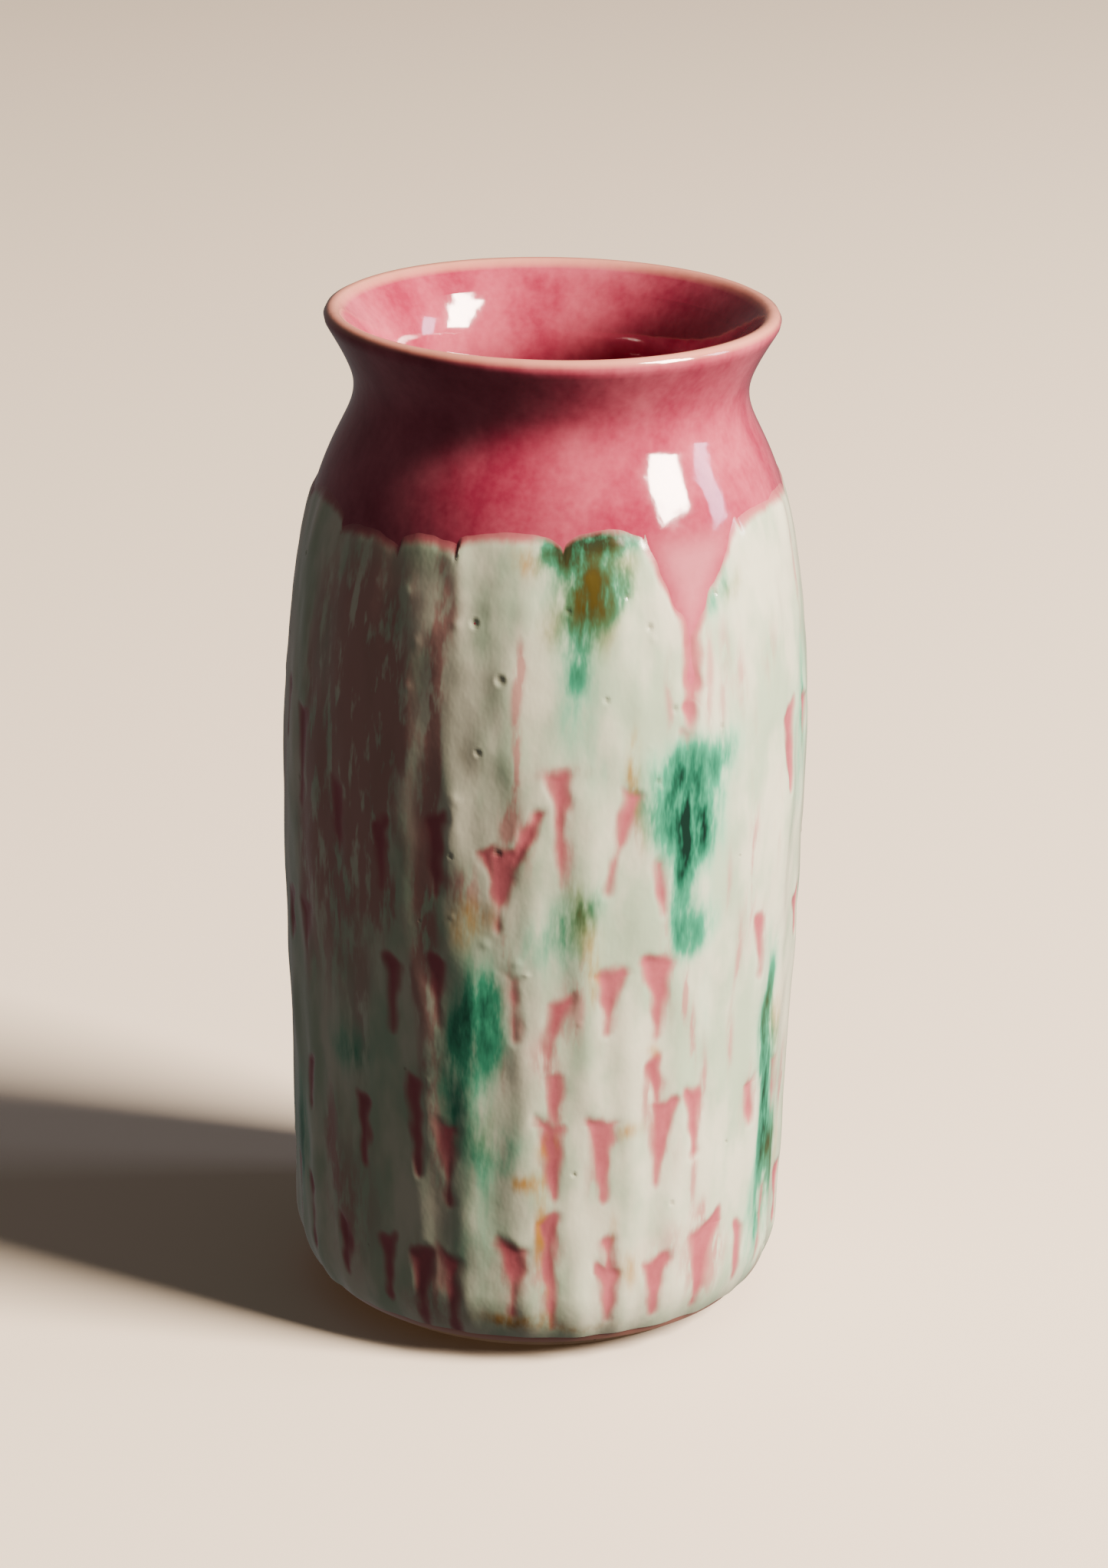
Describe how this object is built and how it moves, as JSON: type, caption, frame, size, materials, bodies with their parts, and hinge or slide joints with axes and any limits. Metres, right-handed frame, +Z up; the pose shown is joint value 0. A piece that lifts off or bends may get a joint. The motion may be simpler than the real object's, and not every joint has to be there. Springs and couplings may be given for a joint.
{
  "type": "vase",
  "caption": "Thrown ceramic vase with a rounded foot, near-cylindrical body, narrow waist and flared lip, pink inside and out under shingled rows of cream glaze dabs.",
  "frame": {"origin": "centre of the foot ring, on the surface the vase stands on", "axes": "+Z up along the axis of the thrown body; the front, with the long pink run on the shoulder, faces -Y"},
  "size_m": [0.0872, 0.0872, 0.1699],
  "materials": {
    "fired_clay": "unglazed fired stoneware, matt and slightly rough",
    "pink_glaze": "glossy rose-pink glaze with faint mottling",
    "cream_glaze": "glossy cream glaze with soft copper-green and ochre stains, pink where thin"
  },
  "bodies": {
    "root": {"clay_body": "fired_clay", "liner_glaze": "pink_glaze", "pink_glaze": "pink_glaze", "cream_row_1": "cream_glaze", "cream_row_2": "cream_glaze", "cream_row_3": "cream_glaze", "cream_row_4": "cream_glaze", "cream_row_5": "cream_glaze"}
  },
  "joints": []
}
